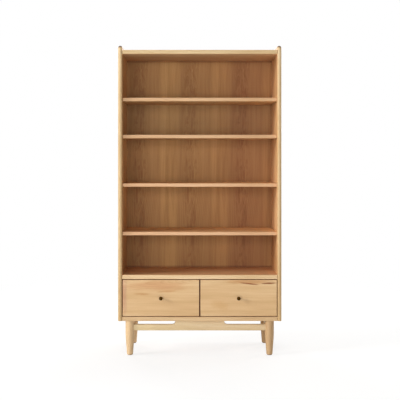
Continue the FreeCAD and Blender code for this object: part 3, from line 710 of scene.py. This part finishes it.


# Drawer fronts
# Solid oak fronts with their grain from side to side and a small chamfer all round, picked for their figure.
# They are dovetailed to the sides, and the chamfers and edges beside the gaps carry painted shade.

def stain(material, centre, half, turn, colour, fray=0.9):
    """Tints an oval patch of a board's face, given by its centre and half size in X and Z and its turn in
    radians. The share rises smoothly from 0 to 1 as the distance from the centre, in half sizes, plus fray
    times noise along the fibres, falls from 1 + fray / 2 to 0.25 + fray / 2."""
    tree = material.node_tree
    coordinates = add(tree, "ShaderNodeTexCoord")
    placed = add(tree, "ShaderNodeMapping", {
        "Vector": coordinates.outputs["Object"], "Location": (centre[0], 0, centre[1]),
        "Rotation": (0, turn, 0), "Scale": (half[0], 10, half[1])}, vector_type="TEXTURE")
    ragged = add(tree, "ShaderNodeTexNoise", {
        "Vector": placed.outputs["Vector"], "Scale": 2.5, "Detail": 3.0})
    distance = add(tree, "ShaderNodeVectorMath", {0: placed.outputs["Vector"]}, operation="LENGTH")
    edge = add(tree, "ShaderNodeMath", {
        0: ragged.outputs["Fac"], 1: fray, 2: distance.outputs["Value"]}, operation="MULTIPLY_ADD")
    share = add(tree, "ShaderNodeMapRange", {
        "Value": edge.outputs[0], "From Min": 1 + fray / 2, "From Max": 0.25 + fray / 2},
        interpolation_type="SMOOTHSTEP")
    tint(material, share.outputs[0], colour)


front_tones = ("#EACFA1", "#D8B384", "#C39B69", "#946D3B")
front_hearts = {"left": (0.09, 0.045), "right": (-0.13, 0.05)}
# Painted shade on the chamfers and edges beside the gaps, near the front face.
gap_edge_painted_shade = "#804510"
gap_edge_span = (-0.95, -0.75)
gap_edge_full, gap_edge_gone = 0.004, 0.007    # behind the front face
# Each stain: the middle and the half size in X and Z, the turn, and the tint. The left front has a reddish
# cloud with two streaks below it, and a reddish end. The right one has two dark streaks by its upper edge.
front_stains = {
    "left": [((-0.24, 0.405), (0.25, 0.040), 0, "#F5E5DE"),
             ((-0.441, 0.345), (0.028, 0.15), 0, "#F0E2EC"),
             ((-0.335, 0.357), (0.065, 0.010), 0.03, "#F0E2D2"),
             ((-0.19, 0.372), (0.080, 0.009), -0.05, "#F1E3D5")],
    "right": [((0.290, 0.4165), (0.078, 0.0058), 0.11, "#B0836A"),
              ((0.402, 0.4195), (0.056, 0.0070), -0.04, "#A5785E"),
              ((0.29, 0.428), (0.18, 0.018), 0, "#EAD8C9"),
              ((0.12, 0.292), (0.075, 0.034), 0.2, "#F8F1E8")],
}
for side, heart in front_hearts.items():
    low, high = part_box(side + "_drawer_front")
    wood = oak("oiled oak, " + side + " drawer front", "ZYX",
               ((low.x + high.x) / 2, low.y, (low.z + high.z) / 2), heart, front_tones,
               taper=0.09, streaks=0.5, figure=0.11)
    # Painted shade beside the gaps.
    tint_faces(wood, "Y", gap_edge_span, gap_edge_painted_shade, ("Y", low.y + gap_edge_full, low.y + gap_edge_gone))
    for patch in front_stains[side]:
        stain(wood, *patch)
    dress(side + "_drawer_front", wood)


# Knobs and their screws
# Turned bronze with a dark patina: a small base, a neck that flares to a flat round head, and a soft rim.
# A zinc-plated screw holds each knob from inside the drawer.

def dark_bronze(name):
    """Patinated bronze: nearly black brown with a satin sheen, as noise between three tones, the lightest of
    them the warmest. The clouds of patina are 4 mm wide, coarser than real ones, so that they show."""
    material, tree, coordinates = start_material(name)
    patina = add(tree, "ShaderNodeTexNoise", {
        "Vector": coordinates.outputs["Object"], "Scale": 260.0, "Detail": 4.0})
    colour = add(tree, "ShaderNodeValToRGB", {"Fac": patina.outputs["Fac"]},
                 ((0.35, "#2F1D06"), (0.6, "#3F290B"), (0.75, "#543913")))
    roughness = add(tree, "ShaderNodeMapRange", {
        "Value": patina.outputs["Fac"], "To Min": 0.34, "To Max": 0.52})
    bump = add(tree, "ShaderNodeBump", {
        "Height": patina.outputs["Fac"], "Strength": 0.1, "Distance": 0.0001})
    feed(tree, tree.nodes["Principled BSDF"], {
        "Base Color": colour.outputs["Color"], "Roughness": roughness.outputs[0], "Normal": bump.outputs[0],
        "Metallic": 1.0})
    return material


forwards = ((1, 0, 0), (0, 0, 1), (0, -1, 0))
knob_base_radius = 0.008
knob_base_height = 0.002
knob_base_round = 0.0008
knob_neck_radius = 0.0055
knob_head = 0.010
knob_soft = 0.0012
knob_dome = 0.0006
knob_sides = 64
flare = np.linspace(0, 1, 10)
crown = np.linspace(0, 0.98, 8)        # share of the way from the rim to the head's middle
base_radii, base_heights = rounded_edge(knob_base_radius, knob_base_round)
for side in ("left", "right"):
    low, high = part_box(side + "_knob")
    radius = (high.x - low.x) / 2
    length = high.y - low.y
    rim_radii, rim_heights = rounded_edge(radius, knob_soft)
    # From the base, the neck widens with the cube of its height. The head's crown is a parabola.
    radii = np.concatenate([
        [knob_base_radius], base_radii[::-1],
        knob_neck_radius + (radius - knob_neck_radius) * flare ** 3,
        rim_radii[::-1], (radius - knob_soft) * (1 - crown),
    ])
    heights = np.concatenate([
        [0], knob_base_height - base_heights[::-1],
        knob_base_height + (length - knob_head - knob_base_height) * flare,
        length - knob_dome - rim_heights[::-1], length - knob_dome + knob_dome * (1 - (1 - crown) ** 2),
    ])
    foot = ((low.x + high.x) / 2, high.y, (low.z + high.z) / 2)
    turned(side + "_knob_turned", foot, forwards, radii, heights, knob_sides,
           side + "_drawer", [side + "_knob"], "dark_bronze", dark_bronze("dark bronze, " + side + " knob"))
    dress(side + "_knob_screw", zinc_plate("zinc-plated steel, " + side + " knob screw", "Y"))


# Floor, light and camera
# A plain pale floor, soft studio light that comes mostly from the front left, and a level camera, so that
# the uprights stay parallel. Its shift brings the whole cabinet into the frame.

def seen_directly(tree):
    """Gives 1 to rays from the camera, from a glossy face or through glass, and 0 to all others: it is the
    largest of the light path's three answers."""
    path = add(tree, "ShaderNodeLightPath")
    either = add(tree, "ShaderNodeMath", {
        0: path.outputs["Is Camera Ray"], 1: path.outputs["Is Glossy Ray"]}, operation="MAXIMUM")
    return add(tree, "ShaderNodeMath", {
        0: either.outputs[0], 1: path.outputs["Is Transmission Ray"]}, operation="MAXIMUM").outputs[0]


def studio_floor(name):
    """White floor. Where it is seen directly, it shows real light and shadow near the cabinet and plain
    white further off, mixed by a smooth step on the distance. To light that only bounces off it, it is plain
    and pale."""
    clear_from, clear_to = 1.2, 3.0
    near_glow = 0.74             # with the light that the faint floor reflects, it comes to just under white
    material, tree, coordinates = start_material(name)
    tree.nodes.remove(tree.nodes["Principled BSDF"])
    away = add(tree, "ShaderNodeVectorMath", {0: coordinates.outputs["Object"]}, operation="LENGTH")
    far = add(tree, "ShaderNodeMapRange", {
        "Value": away.outputs["Value"], "From Min": clear_from, "From Max": clear_to},
        interpolation_type="SMOOTHSTEP")
    lit = add(tree, "ShaderNodeBsdfDiffuse", {"Color": linear("#DFDEDC")})
    faint = add(tree, "ShaderNodeBsdfDiffuse", {"Color": linear("#9A9A99")})
    glow = add(tree, "ShaderNodeEmission", {"Color": linear("#FFFFFF"), "Strength": near_glow})
    near = add(tree, "ShaderNodeAddShader", {0: faint.outputs[0], 1: glow.outputs[0]})
    white = add(tree, "ShaderNodeEmission", {"Color": linear("#FFFFFF"), "Strength": 1.0})
    shown = add(tree, "ShaderNodeMixShader", {0: far.outputs[0], 1: near.outputs[0], 2: white.outputs[0]})
    either = add(tree, "ShaderNodeMixShader", {
        0: seen_directly(tree), 1: lit.outputs[0], 2: shown.outputs[0]})
    feed(tree, tree.nodes["Material Output"], {"Surface": either.outputs[0]})
    return material


def lamp(name, place, width, height, power):
    """A soft rectangular light, aimed at the cabinet's middle. It first looks straight down. Its turn about
    X is the angle from there up to the aim, and its turn about Z brings it round to the aim's direction."""
    aim = (0, 0, 0.95)
    data = bpy.data.lights.new(name, "AREA")
    data.shape = "RECTANGLE"
    data.size, data.size_y = width, height
    data.energy = power
    light = bpy.data.objects.new(name, data)
    light.location = place
    light.visible_camera = False
    direction = np.array(aim) - np.array(place)
    flat = np.hypot(direction[0], direction[1])
    light.rotation_euler = (np.arctan2(flat, -direction[2]), 0, np.arctan2(-direction[0], direction[1]))
    bpy.context.scene.collection.objects.link(light)


floor_half = 15.0
floor_mesh = bpy.data.meshes.new("floor")
floor_mesh.from_pydata([(-floor_half, -floor_half, 0), (floor_half, -floor_half, 0),
                        (floor_half, floor_half, 0), (-floor_half, floor_half, 0)], [], [(0, 1, 2, 3)])
floor_mesh.materials.append(studio_floor("white studio floor"))
floor = bpy.data.objects.new("floor", floor_mesh)
bpy.context.scene.collection.objects.link(floor)

world_light = 0.07             # what the world gives to the cabinet. Seen directly, it is plain white
world = bpy.data.worlds.new("studio")
bpy.context.scene.world = world
world.use_nodes = True
sky = world.node_tree
sky.nodes.clear()
soft = add(sky, "ShaderNodeBackground", {"Color": linear("#FFFFFF"), "Strength": world_light})
plain = add(sky, "ShaderNodeBackground", {"Color": linear("#FFFFFF"), "Strength": 1.0})
either = add(sky, "ShaderNodeMixShader", {0: seen_directly(sky), 1: soft.outputs[0], 2: plain.outputs[0]})
add(sky, "ShaderNodeOutputWorld", {"Surface": either.outputs[0]})

lamp("key", (-8.4, -3.1, 3.4), 3.2, 3.2, 590)
lamp("front", (-0.9, -6.0, 1.35), 5.0, 2.2, 202)
lamp("right side", (5.2, 3.0, 2.4), 2.6, 2.6, 122)
lamp("back left", (-2.6, 5.6, 2.6), 2.6, 2.6, 125)
lamp("back right", (2.2, 5.9, 2.2), 2.6, 2.6, 110)
lamp("overhead", (0.2, 0.5, 4.6), 2.4, 2.4, 64)

camera_side = -0.045
camera_distance = 4.93         # in front of the sides' front edges
camera_height = 1.135
front_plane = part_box("side_panel_left")[0].y
camera = bpy.data.objects.new("camera", bpy.data.cameras.new("camera"))
camera.location = (camera_side, front_plane - camera_distance, camera_height)
camera.rotation_euler = (np.pi / 2, 0, 0)
camera.data.sensor_width = 36
camera.data.lens = 76.5
camera.data.shift_x = 0.0200
camera.data.shift_y = -0.100
bpy.context.scene.collection.objects.link(camera)
bpy.context.scene.camera = camera
bpy.context.scene.view_settings.view_transform = "Standard"
